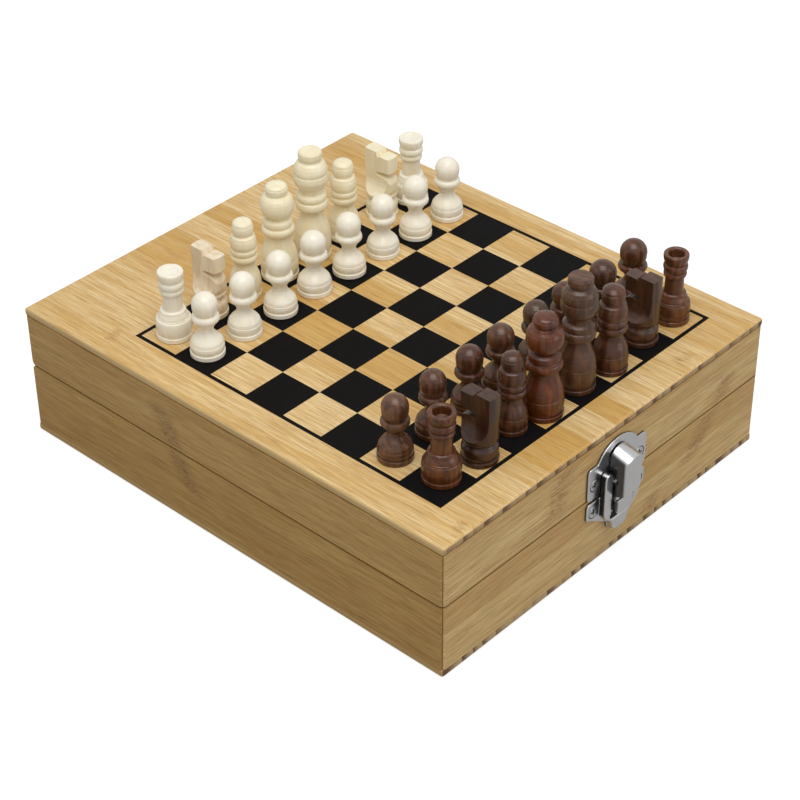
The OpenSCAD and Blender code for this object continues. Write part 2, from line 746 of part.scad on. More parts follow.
function king_profile(r, h) = concat(foot(r),
    bead(r * 0.94, r, foot_h + 0.4, h * 0.22, 5),
    flare(r * 0.96, r * 0.61, h * 0.23, h * 0.44, 6),
    [[r * 0.7, h * 0.455]],
    bead(r * 0.78, r * 0.88, h * 0.465, h * 0.54, 6),
    bead(r * 0.77, r * 0.83, h * 0.55, h * 0.6, 5),
    [[r * 0.63, h * 0.615], [r * 0.63, h * 0.635]],
    flare(r * 0.65, r * 0.9, h * 0.64, h * 0.715, 5),
    [[r * 0.945, h * 0.735], [r * 0.955, h * 0.755], [r * 0.935, h * 0.785], [r * 0.905, h * 0.797],
     [r * 0.905, h * 0.803], [r * 0.92, h * 0.815], [r * 0.91, h * 0.835], [r * 0.85, h * 0.865],
     [r * 0.74, h * 0.893], [r * 0.58, h * 0.91], [r * 0.56, h * 0.918], [r * 0.57, h * 0.926],
     [r * 0.63, h * 0.935], [r * 0.655, h * 0.955], [r * 0.64, h * 0.985], [r * 0.58, h * 0.998],
     [r * 0.52, h], [0, h]]);

function knight_blank(r, h) = concat(foot(r),
    bead(r * 0.92, r * 0.97, foot_h + 0.4, h * 0.23, 5),
    flare(r * 0.9, r * 0.8, h * 0.235, h * 0.265, 2),
    [[r * 0.8, h * 0.29]],
    swell(r * 0.82, r * 0.96, h * 0.295, h * 0.36, 4),
    flare(r * 0.96, r * 1.02, h * 0.5, h * 0.72, 3),
    [[r * 1.02, h - 0.15], [r * 0.99, h], [0, h]]);

module turned(profile) {
    rotate_extrude() polygon(profile);
}

// A knight facing +Y: a turned blank with flat cheeks, a throat cut under the muzzle
// and a step down from the ears to the nose
module knight(r, h) {
    cheek = knight_head_w / 2;
    run_r = r;                               // radius at which the cheek cuts run out
    run_z = h * 0.58;
    reach = r + cut;
    nose_top = h * 0.95;
    nose_low = h * 0.735;
    difference() {
        turned(knight_blank(r, h));
        for (s = [0, 1]) mirror([s, 0, 0]) rotate([90, 0, 0])
            linear_extrude(2 * reach, center = true)
                polygon(concat([[reach, h + cut], [cheek, h + cut]],
                    arc([cheek + run_r, run_z], run_r, 180, 246, 6), [[reach, h * 0.38]]));
        rotate([90, 0, 90]) linear_extrude(2 * reach, center = true)
            polygon([[reach, nose_low], [r * 0.75, nose_low - 0.1], [r * 0.3, nose_low - 0.4],
                [r * 0.02, nose_low - 0.8], [-r * 0.06, nose_low - 1.4], [r * 0.04, nose_low - 1.9],
                [r * 0.3, nose_low - 2], [r * 0.62, nose_low - 2], [r * 0.84, nose_low - 2.6],
                [r * 0.95, h * 0.56], [r * 1.02, h * 0.5], [reach, h * 0.47]]);
        rotate([90, 0, 90]) linear_extrude(2 * reach, center = true)
            polygon([[reach, h * 0.46], [r * 0.97, h * 0.44], [r * 0.72, h * 0.385],
                [r * 0.72, h * 0.365], [reach, h * 0.36]]);
        rotate([90, 0, 90]) linear_extrude(2 * reach, center = true)
            polygon([[reach, h + cut], [-r * 0.06, h + cut], [-r * 0.06, h], [r * 0.08, nose_top - 0.7],
                [r * 0.2, nose_top], [reach, nose_top]]);
    }
}

// Every man in its place: off the middle of its square to the right and back, and its width
// and height against the size of its kind, as hand-turned men differ
dark_men = [[1.2, -0.2, 1.03, 1], [0.1, -2, 1.04, 1], [1.3, 0.3, 0.95, 0.94], [-1.6, -1.3, 1.06, 1.01],
    [-0.4, -0.5, 0.98, 1.01], [-1.6, -2, 1.06, 1.035], [0.7, -0.1, 1.02, 1], [1, -0.3, 0.97, 1.02]];
dark_pawns = [[-0.1, 0.7, 1, 1.02], [0.3, 0.5, 0.98, 1.02], [1, 0.7, 1.02, 1.02],
    [-0.1, 0.9, 1.02, 1.02], [0.8, 1, 1, 1.02], [-0.9, 0.9, 1, 1.02], [0, -0.5, 1.06, 1.05],
    [0.3, -0.2, 1.06, 1.05]];
light_pawns = [[-0.4, 0.9, 1, 1.02], [-0.5, 0.4, 1, 1.02], [-0.1, 0.6, 1, 1.02],
    [0, 0.9, 1.03, 1.02], [-0.1, 0.3, 1, 1.01], [-0.1, -0.1, 1, 1.01], [-0.1, -0.4, 1, 1.02],
    [0.2, -0.3, 1, 1.02]];
light_men = [[-0.4, 0.3, 1, 1], [0.2, 0.7, 1, 1], [-0.5, 0.3, 0.97, 0.975], [-0.7, 0.3, 1.02, 0.985],
    [-0.3, 0.8, 0.98, 1], [-1, 0.8, 1, 1.01], [1.8, 1, 1, 1.03], [0.2, 0.3, 1, 1]];
off_middle = square / 14.4 * max(0, min(1, square - 12.8));  // none on small squares

module king(m) { turned(king_profile(king_r * m[2], king_h * m[3])); }
module queen(m) { turned(queen_profile(queen_r * m[2], queen_h * m[3])); }
module bishop(m) { turned(bishop_profile(bishop_r * m[2], bishop_h * m[3])); }
module rook(m, dished) { turned(rook_profile(rook_r * m[2], rook_h * m[3], dished)); }
module horse(m) { knight(knight_r * m[2], knight_h * m[3]); }
module pawn(m, round_head) {
    turned(pawn_profile(pawn_r * m[2], pawn_h * m[3], round_head));
}

// Puts a man on square [i, j]
module on_square(i, j, m) {
    foot_z = box_h + foot_gap + ((i + j) % 2 == 0 ? print_t : 0);
    translate([board_corner[0] + (i + 0.5) * square + m[0] * off_middle,
        board_corner[1] + (j + 0.5) * square + m[1] * off_middle, foot_z]) children();
}

module dark(i) { color(rosewood) on_square(i, 0, dark_men[i]) children(); }
module light(i) { color(maple) on_square(i, 7, light_men[i]) children(); }

module dark_rook_left() { dark(0) rook(dark_men[0], false); }
module dark_knight_left() { dark(1) horse(dark_men[1]); }
module dark_bishop_left() { dark(2) bishop(dark_men[2]); }
module dark_queen() { dark(3) queen(dark_men[3]); }
module dark_king() { dark(4) king(dark_men[4]); }
module dark_bishop_right() { dark(5) bishop(dark_men[5]); }
module dark_knight_right() { dark(6) horse(dark_men[6]); }
module dark_rook_right() { dark(7) rook(dark_men[7], false); }

module light_rook_left() { light(0) rook(light_men[0], true); }
module light_knight_left() { light(1) mirror([0, 1, 0]) horse(light_men[1]); }
module light_bishop_left() { light(2) bishop(light_men[2]); }
module light_queen() { light(3) queen(light_men[3]); }
module light_king() { light(4) king(light_men[4]); }
module light_bishop_right() { light(5) bishop(light_men[5]); }
module light_knight_right() { light(6) mirror([0, 1, 0]) horse(light_men[6]); }
module light_rook_right() { light(7) rook(light_men[7], true); }

module dark_pawn(n) {
    color(rosewood) on_square(n - 1, 1, dark_pawns[n - 1]) pawn(dark_pawns[n - 1], false);
}
module light_pawn(n) {
    color(maple) on_square(n - 1, 6, light_pawns[n - 1]) pawn(light_pawns[n - 1], true);
}

// ---------------------------------------------------------------- pieces

base_bottom_panel();
base_front_wall();
base_back_wall();
base_left_wall();
base_right_wall();
lid_top_panel();
lid_front_wall();
lid_back_wall();
lid_left_wall();
lid_right_wall();
board_print();
hinge_base_leaves();
hinge_lid_leaves();
hinge_pins();
hinge_base_screws();
hinge_lid_screws();
catch_base_plate();
catch_base_screws();
catch_strike_plate();
catch_strike_screws();
catch_lever();
catch_lever_pin();
catch_spring();
dark_rook_left();
dark_knight_left();
dark_bishop_left();
dark_queen();
dark_king();
dark_bishop_right();
dark_knight_right();
dark_rook_right();
for (n = [1:8]) dark_pawn(n);
for (n = [1:8]) light_pawn(n);
light_rook_left();
light_knight_left();
light_bishop_left();
light_queen();
light_king();
light_bishop_right();
light_knight_right();
light_rook_right();
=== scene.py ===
import json
import math
import bpy
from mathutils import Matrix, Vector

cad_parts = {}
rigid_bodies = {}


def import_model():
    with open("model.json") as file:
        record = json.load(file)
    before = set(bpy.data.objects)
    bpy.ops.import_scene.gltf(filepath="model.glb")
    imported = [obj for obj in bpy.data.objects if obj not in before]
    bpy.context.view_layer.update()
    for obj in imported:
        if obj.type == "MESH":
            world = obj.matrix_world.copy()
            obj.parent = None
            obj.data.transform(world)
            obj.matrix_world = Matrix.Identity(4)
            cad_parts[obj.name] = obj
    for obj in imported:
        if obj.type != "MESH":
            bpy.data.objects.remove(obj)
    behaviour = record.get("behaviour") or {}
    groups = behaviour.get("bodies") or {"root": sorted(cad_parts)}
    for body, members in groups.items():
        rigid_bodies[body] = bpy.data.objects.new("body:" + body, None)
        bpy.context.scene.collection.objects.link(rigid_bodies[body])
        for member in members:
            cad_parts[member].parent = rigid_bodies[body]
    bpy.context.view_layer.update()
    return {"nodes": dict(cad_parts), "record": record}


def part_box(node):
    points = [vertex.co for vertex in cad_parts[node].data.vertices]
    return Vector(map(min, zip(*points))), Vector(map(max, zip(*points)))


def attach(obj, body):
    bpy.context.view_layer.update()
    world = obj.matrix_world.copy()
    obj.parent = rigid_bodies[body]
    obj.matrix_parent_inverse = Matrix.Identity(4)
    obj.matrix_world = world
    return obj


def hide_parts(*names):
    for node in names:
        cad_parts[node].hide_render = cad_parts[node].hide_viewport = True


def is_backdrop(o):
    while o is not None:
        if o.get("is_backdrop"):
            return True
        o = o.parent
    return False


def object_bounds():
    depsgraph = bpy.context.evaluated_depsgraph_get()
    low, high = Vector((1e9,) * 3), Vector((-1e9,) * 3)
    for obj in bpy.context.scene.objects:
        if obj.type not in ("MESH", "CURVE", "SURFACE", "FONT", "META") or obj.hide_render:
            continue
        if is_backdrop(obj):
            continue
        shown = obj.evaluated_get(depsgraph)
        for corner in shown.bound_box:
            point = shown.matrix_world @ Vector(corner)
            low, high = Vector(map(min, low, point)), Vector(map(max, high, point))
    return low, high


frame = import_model()
cad_nodes = frame["nodes"]
for thing in bpy.data.objects:
    thing.select_set(False)
mm = 0.001

# ------------------------------------------------------------------ floor, light and camera
# A white studio table under one large softbox that hangs over the box, a little towards
# the camera, with a weak fill from the front. The camera's place and lens are fitted to the
# board's printed squares and the box's edges.

bpy.context.scene.view_settings.view_transform = "Standard"

camera_data = bpy.data.cameras.new("camera")
camera_data.lens = 99.296
camera_data.sensor_width = 36
camera = bpy.data.objects.new("camera", camera_data)
bpy.context.scene.collection.objects.link(camera)
camera.location = (-0.390752, -0.364177, 0.406235)
camera.rotation_euler = [math.radians(a) for a in (53.6236, 0.4066, -47.552)]
bpy.context.scene.camera = camera


def softbox(name, towards, distance, size, watts):
    """A rectangular lamp that looks at the box from the given direction and distance."""
    data = bpy.data.lights.new(name, "AREA")
    data.shape = "RECTANGLE"
    data.size, data.size_y = size
    data.energy = watts
    lamp = bpy.data.objects.new(name, data)
    bpy.context.scene.collection.objects.link(lamp)
    length = math.sqrt(sum(c * c for c in towards))
    lamp.location = [c / length * distance for c in towards]
    yaw = math.atan2(towards[0], -towards[1])
    lamp.rotation_euler = (math.acos(towards[2] / length), 0, yaw)


softbox("key softbox", (-0.20, -0.20, 0.955), distance=0.72, size=(0.50, 0.50), watts=2.62)
softbox("front fill", (0.30, -0.90, 0.28), distance=1.1, size=(0.5, 0.5), watts=1.2)


def put(tree, kind, **sockets):
    """Adds a node and fills its sockets with values or with other nodes' outputs."""
    made = tree.nodes.new(kind)
    for name, value in sockets.items():
        if hasattr(made, name):
            setattr(made, name, value)
            continue
        socket = made.inputs[int(name[2:]) if name.startswith("in") else name.replace("_", " ")]
        if isinstance(value, bpy.types.NodeSocket):
            tree.links.new(value, socket)
        else:
            socket.default_value = value
    return made


def calc(tree, operation, a, b=0.0):
    """A sum, product or the like of values and sockets, as one Math node."""
    return put(tree, "ShaderNodeMath", operation=operation, in0=a, in1=b).outputs[0]


# the world is plain white to the camera, and dimmer as light and in what metal mirrors
world_light, world_mirrored = 0.50, 0.80
world = bpy.data.worlds.new("studio")
bpy.context.scene.world = world
world.use_nodes = True
tree = world.node_tree
tree.nodes.clear()
rays = put(tree, "ShaderNodeLightPath").outputs
seen = calc(tree, "MAXIMUM", rays["Is Camera Ray"], rays["Is Transmission Ray"])
glossy = calc(tree, "MULTIPLY", rays["Is Glossy Ray"], world_mirrored)
strength = calc(tree, "MAXIMUM", calc(tree, "MAXIMUM", seen, glossy), world_light)
shine = put(tree, "ShaderNodeBackground", Color=(1, 1, 1, 1), Strength=strength)
put(tree, "ShaderNodeOutputWorld", Surface=shine.outputs[0])

# the table takes the box's shadow and glows up to white for the camera
table_grey, glow_seen, glow_mirrored = 0.42, 0.76, 0.16
bpy.ops.mesh.primitive_plane_add(size=8, location=(0, 0, -0.05 * mm))
table_top = bpy.context.object
table_top.name = "table_top"
table_white = bpy.data.materials.new("table_white")
table_white.use_nodes = True
tree = table_white.node_tree
tree.nodes.clear()
rays = put(tree, "ShaderNodeLightPath").outputs
paper = put(tree, "ShaderNodeBsdfDiffuse", Color=(table_grey,) * 3 + (1,))
lift = calc(tree, "ADD", calc(tree, "MULTIPLY", rays["Is Camera Ray"], glow_seen),
            calc(tree, "MULTIPLY", rays["Is Glossy Ray"], glow_mirrored))
glow = put(tree, "ShaderNodeEmission", Color=(1, 1, 1, 1), Strength=lift)
both = put(tree, "ShaderNodeAddShader", in0=paper.outputs[0], in1=glow.outputs[0])
put(tree, "ShaderNodeOutputMaterial", Surface=both.outputs[0])
table_top.data.materials.append(table_white)
table_top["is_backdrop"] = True
table_top.select_set(False)

# ------------------------------------------------------------------ walls of base and lid
# Eight lengths of laminated bamboo, mitred and glued at the corners and to the panels, and
# lacquered satin. The strips run along each wall, with fine fibres and here and there the
# mottled band of a bamboo node.

half_width, half_depth, parting_z = 70.2, 82.3, 24.5
edge_round = 0.12 * mm


def group(name, inputs, outputs):
    """An empty shader group with sockets of the given kinds, and its two ends."""
    made = bpy.data.node_groups.new(name, "ShaderNodeTree")
    for label, kind in inputs.items():
        made.interface.new_socket(label, in_out="INPUT", socket_type="NodeSocket" + kind)
    for label, kind in outputs.items():
        made.interface.new_socket(label, in_out="OUTPUT", socket_type="NodeSocket" + kind)
    return made, made.nodes.new("NodeGroupInput").outputs, made.nodes.new("NodeGroupOutput").inputs


def noise(tree, x, y, z, scale, detail, roughness=0.55):
    """Noise over three lengths in millimetres, each stretched by its own scale."""
    place = put(tree, "ShaderNodeCombineXYZ", X=calc(tree, "MULTIPLY", x, scale[0]),
                Y=calc(tree, "MULTIPLY", y, scale[1]), Z=calc(tree, "MULTIPLY", z, scale[2]))
    return put(tree, "ShaderNodeTexNoise", Vector=place.outputs[0], Scale=1.0, Detail=detail,
               Roughness=roughness).outputs["Fac"]


def ramp(tree, value, low, high, to_low=0.0, to_high=1.0):
    """Eases a value from low..high to to_low..to_high."""
    made = put(tree, "ShaderNodeMapRange", interpolation_type="SMOOTHSTEP", Value=value)
    for label, number in (("From Min", low), ("From Max", high),
                          ("To Min", to_low), ("To Max", to_high)):
        made.inputs[label].default_value = number
    return made.outputs["Result"]


def blend(tree, factor, a, b, way="MIX"):
    """Mixes colour b into colour a by the factor."""
    made = put(tree, "ShaderNodeMix", data_type="RGBA", blend_type=way)
    for index, value in ((0, factor), (6, a), (7, b)):
        if isinstance(value, bpy.types.NodeSocket):
            tree.links.new(value, made.inputs[index])
        else:
            made.inputs[index].default_value = value
    return made.outputs[2]


# bamboo strips side by side, each with its own tone, fibres and fine dark lines
bamboo, given, out = group(
    "bamboo_strips",
    {"Along": "Float", "Across": "Float", "Depth": "Float", "Strip": "Float", "Seed": "Float",
     "Pale": "Color", "Honey": "Color", "Brown": "Color", "Nodes": "Float"},
    {"Color": "Color", "Roughness": "Float", "Height": "Float"})
tree = bamboo
# strips of uneven width: a slow sine widens some and narrows others
sway = calc(tree, "MULTIPLY", given["Strip"],
            calc(tree, "MULTIPLY", 0.3, calc(tree, "SINE", calc(tree, "ADD", given["Seed"], calc(
                tree, "DIVIDE", calc(tree, "MULTIPLY", given["Across"], 2.3), given["Strip"])))))
steps = calc(tree, "DIVIDE", calc(tree, "ADD", given["Across"], sway), given["Strip"])
strip = calc(tree, "FLOOR", steps)
within = calc(tree, "FRACT", steps)
dice = put(tree, "ShaderNodeTexWhiteNoise", noise_dimensions="1D",
           W=calc(tree, "ADD", strip, calc(tree, "MULTIPLY", given["Seed"], 17.31)))
shares = put(tree, "ShaderNodeSeparateColor", Color=dice.outputs["Color"]).outputs
shifted = calc(tree, "ADD", given["Along"], calc(tree, "MULTIPLY", shares[1], 400.0))
apart = calc(tree, "ADD", given["Depth"], calc(tree, "MULTIPLY", strip, 31.7))
slow = noise(tree, shifted, given["Across"], apart, (0.016, 0.30, 0.2), 2)
fibre = noise(tree, shifted, given["Across"], apart, (0.05, 1.1, 1.1), 4, 0.6)
hair = noise(tree, shifted, given["Across"], apart, (0.10, 4.0, 4.0), 3, 0.6)
dash = noise(tree, shifted, given["Across"], apart, (0.085, 2.6, 2.6), 3, 0.65)
dash = ramp(tree, dash, 0.57, 0.70)
# a node's band: an uneven mottled patch some 8 mm long across one strip, every 330 mm
period = 330.0
spot = calc(tree, "ADD", shifted, calc(tree, "MULTIPLY", shares[2], period))
spot = calc(tree, "DIVIDE", spot, period)
off = calc(tree, "MULTIPLY", calc(tree, "SUBTRACT", calc(tree, "FRACT", spot), 0.5), period)
wander = calc(tree, "MULTIPLY", noise(tree, apart, given["Across"], 0.0, (0.1, 0.35, 0.1), 2), 7.0)
band = ramp(tree, calc(tree, "ABSOLUTE", calc(tree, "ADD", off, wander)), 0.5, 5.0, 1.0, 0.0)
mottle = noise(tree, given["Along"], given["Across"], apart, (0.7, 1.6, 1.0), 4, 0.7)
mottle = ramp(tree, mottle, 0.48, 0.66)
mottled = calc(tree, "MULTIPLY", calc(tree, "MULTIPLY", band, mottle), given["Nodes"])
# the glue line between two strips
seam = calc(tree, "MINIMUM", within, calc(tree, "SUBTRACT", 1.0, within))
seam = ramp(tree, seam, 0.003, 0.012, 1.0, 0.0)
tone = calc(tree, "ADD", calc(tree, "MULTIPLY", shares[0], 0.5), calc(tree, "MULTIPLY", slow, 0.8))
tone = ramp(tree, tone, 0.30, 1.0)
colour = blend(tree, tone, given["Pale"], given["Honey"])
for mask, amount, darker in (
        (ramp(tree, fibre, 0.40, 0.66), 0.75, "Honey"), (dash, 0.66, "Brown"),
        (ramp(tree, hair, 0.42, 0.66), 0.46, "Brown"), (mottled, 0.45, "Brown"),
        (seam, 0.30, "Brown")):
    colour = blend(tree, calc(tree, "MULTIPLY", mask, amount), colour, given[darker])
tree.links.new(colour, out["Color"])
rough = calc(tree, "ADD", calc(tree, "MULTIPLY", fibre, 0.18),
             calc(tree, "MULTIPLY", mottled, 0.15))
tree.links.new(calc(tree, "ADD", rough, 0.42), out["Roughness"])
relief = calc(tree, "ADD", calc(tree, "MULTIPLY", hair, 0.5), calc(tree, "MULTIPLY", fibre, 0.5))
relief = calc(tree, "SUBTRACT", relief, calc(tree, "ADD", calc(tree, "MULTIPLY", seam, 0.5),
                                             calc(tree, "MULTIPLY", mottled, 0.6)))
tree.links.new(relief, out["Height"])

# the short dark dashes that cross a strip where the culm had a node
node_mark, given, out = group(
    "node_mark",
    {"Along": "Float", "Across": "Float", "Depth": "Float", "At Along": "Float",
     "At Across": "Float", "Reach": "Float", "Height": "Float", "Lean": "Float"},
    {"Mask": "Float"})
tree = node_mark
rise = calc(tree, "SUBTRACT", given["Across"], given["At Across"])
stray = noise(tree, given["Across"], given["Depth"], given["At Along"], (0.45, 0.2, 1.0), 2)
stray = calc(tree, "MULTIPLY", calc(tree, "SUBTRACT", stray, 0.5), 5.0)
aside = calc(tree, "SUBTRACT", calc(tree, "SUBTRACT", given["Along"], given["At Along"]),
             calc(tree, "MULTIPLY", rise, given["Lean"]))
aside = calc(tree, "DIVIDE", calc(tree, "ADD", aside, stray), given["Reach"])
aside = calc(tree, "ABSOLUTE", aside)
rise = calc(tree, "ABSOLUTE", calc(tree, "DIVIDE", rise, given["Height"]))
near = calc(tree, "MULTIPLY", ramp(tree, aside, 0.1, 1.0, 1.0, 0.0),
            ramp(tree, rise, 0.55, 1.0, 1.0, 0.0))
dashes = noise(tree, given["Along"], given["Across"], given["Depth"], (0.75, 3.2, 3.2), 3, 0.7)
dashes = calc(tree, "MULTIPLY", ramp(tree, dashes, 0.52, 0.62), 0.70)
tree.links.new(calc(tree, "MULTIPLY", near, calc(tree, "ADD", dashes, 0.24)), out["Mask"])

# the mitre's hairline on the corners, and painted shadow along the parting line between lid and
# base
joints_and_parting_shadow, given, out = group(
    "joints_and_parting_shadow", {"X": "Float", "Y": "Float", "Z": "Float"},
    {"Mitre": "Float", "PartingShadow": "Float"})
tree = joints_and_parting_shadow
mitre = calc(tree, "SUBTRACT", calc(tree, "ABSOLUTE", given["Y"]),
             calc(tree, "ABSOLUTE", given["X"]))
mitre = calc(tree, "ABSOLUTE", calc(tree, "SUBTRACT", mitre, half_depth - half_width))
tree.links.new(ramp(tree, mitre, 0.10, 0.38, 0.65, 0.0), out["Mitre"])
# painted shadow: darker along the parting line
part = calc(tree, "ABSOLUTE", calc(tree, "SUBTRACT", given["Z"], parting_z))
tree.links.new(ramp(tree, part, 0.25, 0.50, 0.75, 0.0), out["PartingShadow"])


def millimetres(tree):
    """The piece's own X, Y and Z in millimetres."""
    spot = put(tree, "ShaderNodeTexCoord").outputs["Object"]
    parts = put(tree, "ShaderNodeSeparateXYZ", Vector=spot).outputs
    return [calc(tree, "MULTIPLY", part, 1000.0) for part in parts]


def finish_wood(tree, colour, rough, relief, coat=0.06, bump=0.12, coat_roughness=0.22, sheen=0.35):
    """A lacquered wood's shader over the given colour, roughness and relief."""
    bumped = put(tree, "ShaderNodeBump", Strength=bump, Distance=0.15 * mm, Height=relief)
    skin = put(tree, "ShaderNodeBsdfPrincipled", Roughness=rough, Normal=bumped.outputs[0])
    tree.links.new(colour, skin.inputs["Base Color"])
    skin.inputs["Coat Weight"].default_value = coat
    skin.inputs["Coat Roughness"].default_value = coat_roughness
    skin.inputs["Specular IOR Level"].default_value = sheen
    put(tree, "ShaderNodeOutputMaterial", Surface=skin.outputs[0])


def new_material(name):
    """An empty material and its tree."""
    made = bpy.data.materials.new(name)
    made.use_nodes = True
    made.node_tree.nodes.clear()
    return made, made.node_tree


def marked(tree, colour, along, across, depth, marks, brown):
    """The colour with brown node marks. Each mark gives its place along and across the
    board, its reach along it, its reach across it, and its lean per millimetre across."""
    for at_along, at_across, reach, height, lean in marks:
        dark = put(tree, "ShaderNodeGroup", node_tree=node_mark, Along=along, Across=across,
                   Depth=depth, At_Along=at_along, At_Across=at_across, Reach=reach,
                   Height=height, Lean=lean)
        colour = blend(tree, dark.outputs["Mask"], colour, brown)
    return colour


def wall_wood(name, runs, seed, pale, honey, brown, marks):
    """Bamboo for one wall that runs along X or Y, with its node marks."""
    made, tree = new_material(name)
    x, y, z = millimetres(tree)
    along, depth = (x, y) if runs == "X" else (y, x)
    grain = put(tree, "ShaderNodeGroup", node_tree=bamboo, Along=along, Across=z, Depth=depth,
                Strip=13.0, Seed=seed, Pale=pale, Honey=honey, Brown=brown, Nodes=0.0)
    colour = marked(tree, grain.outputs["Color"], along, z, depth, marks, brown)
    joints = put(tree, "ShaderNodeGroup", node_tree=joints_and_parting_shadow, X=x, Y=y, Z=z).outputs
    colour = blend(tree, joints["Mitre"], colour, (0.09, 0.045, 0.018, 1))
    # painted shadow in the gap at the parting line
    colour = blend(tree, joints["PartingShadow"], colour, (0.30, 0.165, 0.035, 1))
    finish_wood(tree, colour, grain.outputs["Roughness"], grain.outputs["Height"])
    return made


front_colours = ((0.78, 0.560, 0.250, 1), (0.60, 0.370, 0.128, 1), (0.27, 0.125, 0.036, 1))
# painted shade: the side walls get darker, deeper copies of the front and back walls' tones
shaded_side_colours = ((0.67, 0.440, 0.155, 1), (0.49, 0.280, 0.076, 1), (0.19, 0.088, 0.022, 1))
# and a darker, warmer copy of those for the base's left wall
warmer = (0.90, 0.86, 0.74, 1)
warm_shaded_side_colours = [tuple(c * f for c, f in zip(tone, warmer)) for tone in shaded_side_colours]
walls = {
    "base_front_wall": wall_wood("bamboo_base_front", "X", 3.1, *front_colours,
                                 [(42, 17, 7.5, 8, 0.7), (20, 6, 6, 4, 0.3)]),
    "lid_front_wall": wall_wood("bamboo_lid_front", "X", 7.7, *front_colours,
                                [(-23, 34, 7, 9, 0.3), (52, 29, 6, 5, 0.6)]),
    "base_back_wall": wall_wood("bamboo_base_back", "X", 1.3, *front_colours,
                                [(-40, 12, 5, 9, 0.3)]),
    "lid_back_wall": wall_wood("bamboo_lid_back", "X", 5.2, *front_colours,
                               [(22, 34, 5, 8, -0.3)]),
    "base_left_wall": wall_wood("bamboo_base_left", "Y", 2.4, *warm_shaded_side_colours,
                                [(16, 18, 6.5, 8, 0.5)]),
    "lid_left_wall": wall_wood("bamboo_lid_left", "Y", 9.4, *shaded_side_colours,
                               [(22, 31, 6.5, 8, 0.5)]),
    "base_right_wall": wall_wood("bamboo_base_right", "Y", 4.9, *shaded_side_colours,
                                 [(-36, 14, 5, 9, 0.4)]),
    "lid_right_wall": wall_wood("bamboo_lid_right", "Y", 6.3, *shaded_side_colours,
                                [(52, 36, 5, 7, -0.4)]),
}
# which body each node rides on
record = frame["record"]
rides = {node: body for body, nodes in record["behaviour"]["bodies"].items() for node in nodes}


def merged_copy(node, kind):
    """A copy of the node's mesh in one piece, active and selected, in edit mode."""
    piece = bpy.data.objects.new(node + "_" + kind, cad_nodes[node].data.copy())
    bpy.context.scene.collection.objects.link(piece)
    bpy.context.view_layer.objects.active = piece
    piece.select_set(True)
    bpy.ops.mesh.customdata_custom_splitnormals_clear()
    bpy.ops.object.mode_set(mode="EDIT")
    bpy.ops.mesh.select_mode(type="EDGE")
    bpy.ops.mesh.select_all(action="SELECT")
    bpy.ops.mesh.remove_doubles(threshold=0.002 * mm)
    return piece


def stand_in(piece, node, material):
    """Gives the piece its material and the node's place and body."""
    piece.select_set(False)
    piece.data.materials.clear()
    piece.data.materials.append(material)
    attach(piece, rides[node])
    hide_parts(node)


def eased(node, material, width, glued=None):
    """The node's own shape with its sharp edges rounded over. Edges at the glued height
    stay sharp."""
    piece = merged_copy(node, "eased")
    bpy.ops.mesh.dissolve_limited(angle_limit=math.radians(0.6))
    bpy.ops.mesh.select_all(action="DESELECT")
    bpy.ops.mesh.edges_select_sharp(sharpness=math.radians(35))
    bpy.ops.object.mode_set(mode="OBJECT")
    for edge in piece.data.edges:
        a, b = [piece.data.vertices[v].co for v in edge.vertices]
        if glued is not None and abs(a.z - glued) + abs(b.z - glued) < 0.1 * mm:
            edge.select = False
    # a face left selected would select its own edges again
    piece.data.polygons.foreach_set("select", [False] * len(piece.data.polygons))
    bpy.ops.object.mode_set(mode="EDIT")
    bpy.ops.mesh.bevel(offset=width, segments=2, affect="EDGES", clamp_overlap=True)
    bpy.ops.object.mode_set(mode="OBJECT")
    bpy.ops.object.shade_smooth_by_angle(angle=math.radians(32))
    even = piece.modifiers.new("even_light", "WEIGHTED_NORMAL")
    even.keep_sharp = True
    bpy.ops.object.modifier_apply(modifier=even.name)
    stand_in(piece, node, material)


for name, wood in walls.items():
    low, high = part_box(name)
    eased(name, wood, edge_round, glued=low[2] if "base" in name else high[2])

# ------------------------------------------------------------------ top and bottom panels
# Thin boards of bamboo strips that run from the catch to the hinges, glued to the walls and
# rounded over at the rim. Their sawn ends show brown along the front and back edges, strip
# by strip.

# the sawn end of a board: each strip is dark where the culm's skin was and paler inwards
sawn_end, given, out = group(
    "sawn_end", {"X": "Float", "Y": "Float", "Z": "Float", "Block": "Float", "Seed": "Float",
                 "Light": "Color", "Dark": "Color"}, {"Color": "Color"})
tree = sawn_end
uneven = calc(tree, "ADD", calc(tree, "MULTIPLY", given["X"], 0.31), given["Seed"])
uneven = calc(tree, "MULTIPLY", calc(tree, "SINE", uneven), 1.3)
steps = calc(tree, "DIVIDE", calc(tree, "ADD", given["X"], uneven), given["Block"])
dice = put(tree, "ShaderNodeTexWhiteNoise", noise_dimensions="1D",
           W=calc(tree, "ADD", calc(tree, "FLOOR", steps), given["Seed"])).outputs["Color"]
dice = put(tree, "ShaderNodeSeparateColor", Color=dice).outputs
skin_side = calc(tree, "POWER", calc(tree, "SUBTRACT", 1.0, calc(tree, "FRACT", steps)), 1.5)
depth_of_tone = calc(tree, "ADD", calc(tree, "MULTIPLY", dice[0], 0.75), 0.25)
skin_side = calc(tree, "MULTIPLY", skin_side, depth_of_tone)
cells = noise(tree, given["X"], given["Y"], given["Z"], (2.6, 1.0, 2.6), 3, 0.7)
shade = calc(tree, "ADD", calc(tree, "MULTIPLY", skin_side, 0.8),
             calc(tree, "MULTIPLY", cells, 0.5))
colour = blend(tree, ramp(tree, shade, 0.28, 0.78), given["Light"], given["Dark"])
pale_block = ramp(tree, dice[1], 0.90, 0.94, 0.0, 0.55)
colour = blend(tree, pale_block, colour, (0.50, 0.43, 0.31, 1))
tree.links.new(colour, out["Color"])

